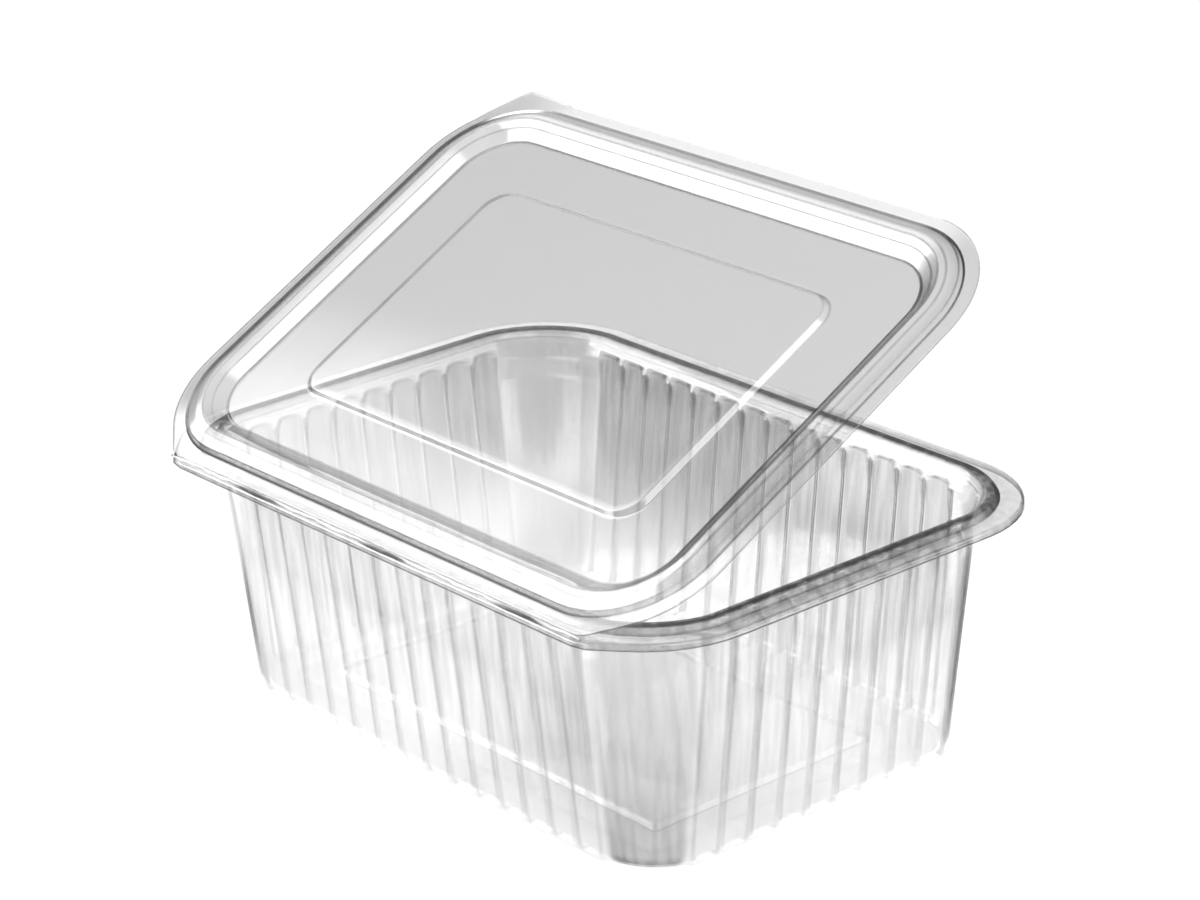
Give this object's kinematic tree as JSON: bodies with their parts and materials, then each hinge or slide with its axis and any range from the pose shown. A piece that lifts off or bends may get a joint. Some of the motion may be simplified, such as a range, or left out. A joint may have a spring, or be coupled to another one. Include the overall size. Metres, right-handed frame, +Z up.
{
  "type": "hinged food box",
  "caption": "Empty clear plastic food box with a fluted rectangular tub and a lid hinged on a fold along one long side, standing part open.",
  "frame": {"origin": "middle of the tub's underside, on the surface the box stands on", "axes": "+X along the lid's fold, +Y from the fold to the opening side, +Z up"},
  "size_m": [0.189, 0.1386, 0.13],
  "materials": {
    "clear_tub": "clear, glossy thermoformed plastic sheet",
    "clear_lid": "clear, glossy thermoformed plastic sheet"
  },
  "bodies": {
    "tub": {"tub": "clear_tub"},
    "lid": {"lid": "clear_lid"}
  },
  "joints": [
    {"name": "lid_fold", "type": "hinge", "parent": "tub", "child": "lid", "pos_m": [0, -0.0692, 0.0645], "axis": [1, 0, 0], "range_deg": [-28, 152]}
  ]
}
